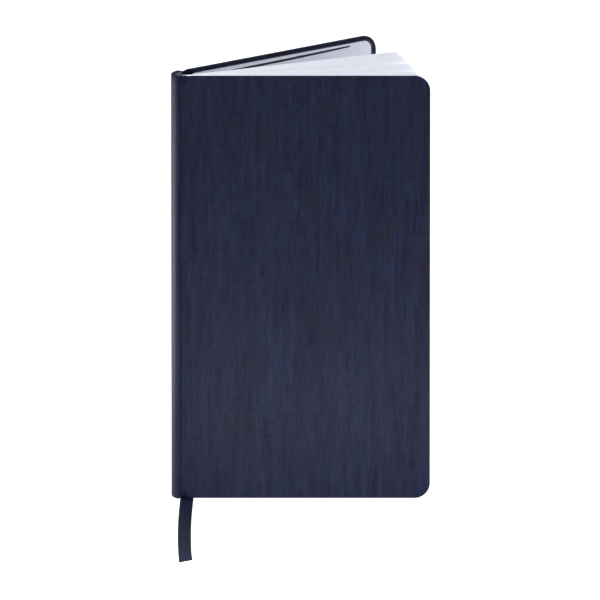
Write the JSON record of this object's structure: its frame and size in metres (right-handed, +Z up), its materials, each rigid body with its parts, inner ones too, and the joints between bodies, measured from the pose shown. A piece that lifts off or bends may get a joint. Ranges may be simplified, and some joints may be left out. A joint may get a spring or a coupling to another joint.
{
  "type": "pilot logbook",
  "caption": "Hardcover cloth-bound logbook standing part open: rounded spine, fanned sewn sections, pocket inside the back cover and a ribbon marker.",
  "frame": {"origin": "bottom centre of the standing book's bounding box, without the ribbon's free tail", "axes": "+Z up along the spine, -Y out of the front cover's face, +X from the spine towards the fore-edge"},
  "size_m": [0.127, 0.2159, 0.2135],
  "materials": {
    "cover_cloth": "matt woven-look book cloth, navy",
    "board": "grey binder's board",
    "card": "plain card",
    "mull": "open starched cotton gauze",
    "thread": "waxed linen thread",
    "leaf_paper": "smooth uncoated white paper",
    "grey_paper": "pale grey endpaper",
    "pocket_cloth": "thin navy cloth",
    "ribbon": "navy satin ribbon"
  },
  "bodies": {
    "spine": {"spine_cloth": "cover_cloth", "spine_stiffener": "card", "spine_lining": "card", "mull": "mull", "sewn_folds": "leaf_paper", "headband": "thread", "tailband": "thread", "sewing_thread_1": "thread", "sewing_thread_2": "thread", "sewing_thread_3": "thread", "sewing_thread_4": "thread", "sewing_thread_5": "thread", "front_flyleaf": "leaf_paper", "ribbon_marker": "ribbon", "ribbon_tail": "ribbon"},
    "front_joint": {"front_joint_cloth": "cover_cloth"},
    "front_cover": {"front_cover_cloth": "cover_cloth", "front_board": "board", "front_pastedown": "grey_paper"},
    "back_joint": {"back_joint_cloth": "cover_cloth"},
    "back_cover": {"back_cover_cloth": "cover_cloth", "back_board": "board", "back_pastedown": "pocket_cloth", "pocket_gusset": "pocket_cloth", "pocket_panel": "grey_paper"},
    "leaves_1": {"section_1": "leaf_paper"},
    "leaves_2": {"section_2": "leaf_paper"},
    "leaves_3": {"section_3": "leaf_paper"},
    "leaves_4": {"section_4": "leaf_paper"},
    "leaves_5": {"section_5": "leaf_paper"},
    "leaves_6": {"section_6": "leaf_paper"},
    "leaves_7": {"section_7": "leaf_paper"},
    "leaves_8": {"section_8": "leaf_paper", "back_flyleaf": "leaf_paper"}
  },
  "joints": [
    {"name": "front_spine_fold", "type": "hinge", "parent": "spine", "child": "front_joint", "pos_m": [-0.0594, -0.04596, 0], "axis": [0, 0, -1], "range_deg": [0, 110]},
    {"name": "front_board_fold", "type": "hinge", "parent": "front_joint", "child": "front_cover", "pos_m": [-0.0545, -0.04596, 0], "axis": [0, 0, -1], "range_deg": [0, 70]},
    {"name": "back_spine_fold", "type": "hinge", "parent": "spine", "child": "back_joint", "pos_m": [-0.0594, -0.03196, 0], "axis": [0, 0, 1], "range_deg": [-39.3, 70.7]},
    {"name": "back_board_fold", "type": "hinge", "parent": "back_joint", "child": "back_cover", "pos_m": [-0.05561, -0.02885, 0], "axis": [0, 0, 1], "range_deg": [0, 70]},
    {"name": "leaf_fold_1", "type": "hinge", "parent": "spine", "child": "leaves_1", "pos_m": [-0.0541, -0.04196, 0], "axis": [0, 0, 1], "range_deg": [-1.89, 3.39]},
    {"name": "leaf_fold_2", "type": "hinge", "parent": "spine", "child": "leaves_2", "pos_m": [-0.0541, -0.04116, 0], "axis": [0, 0, 1], "range_deg": [-3.81, 6.86]},
    {"name": "leaf_fold_3", "type": "hinge", "parent": "spine", "child": "leaves_3", "pos_m": [-0.0541, -0.04036, 0], "axis": [0, 0, 1], "range_deg": [-5.5, 9.9]},
    {"name": "leaf_fold_4", "type": "hinge", "parent": "spine", "child": "leaves_4", "pos_m": [-0.0541, -0.03956, 0], "axis": [0, 0, 1], "range_deg": [-10.81, 19.44]},
    {"name": "leaf_fold_5", "type": "hinge", "parent": "spine", "child": "leaves_5", "pos_m": [-0.0541, -0.03876, 0], "axis": [0, 0, 1], "range_deg": [-13.48, 24.25]},
    {"name": "leaf_fold_6", "type": "hinge", "parent": "spine", "child": "leaves_6", "pos_m": [-0.0541, -0.03796, 0], "axis": [0, 0, 1], "range_deg": [-19.77, 35.56]},
    {"name": "leaf_fold_7", "type": "hinge", "parent": "spine", "child": "leaves_7", "pos_m": [-0.0541, -0.03716, 0], "axis": [0, 0, 1], "range_deg": [-22.79, 41.01]},
    {"name": "leaf_fold_8", "type": "hinge", "parent": "spine", "child": "leaves_8", "pos_m": [-0.0541, -0.03636, 0], "axis": [0, 0, 1], "range_deg": [-25.84, 46.49]}
  ],
  "couplings": [
    {"joint": "leaf_fold_1", "follows": "back_spine_fold", "ratio": 0.048},
    {"joint": "leaf_fold_2", "follows": "back_spine_fold", "ratio": 0.097},
    {"joint": "leaf_fold_3", "follows": "back_spine_fold", "ratio": 0.14},
    {"joint": "leaf_fold_4", "follows": "back_spine_fold", "ratio": 0.275},
    {"joint": "leaf_fold_5", "follows": "back_spine_fold", "ratio": 0.343},
    {"joint": "leaf_fold_6", "follows": "back_spine_fold", "ratio": 0.503},
    {"joint": "leaf_fold_7", "follows": "back_spine_fold", "ratio": 0.58},
    {"joint": "leaf_fold_8", "follows": "back_spine_fold", "ratio": 0.6575}
  ]
}
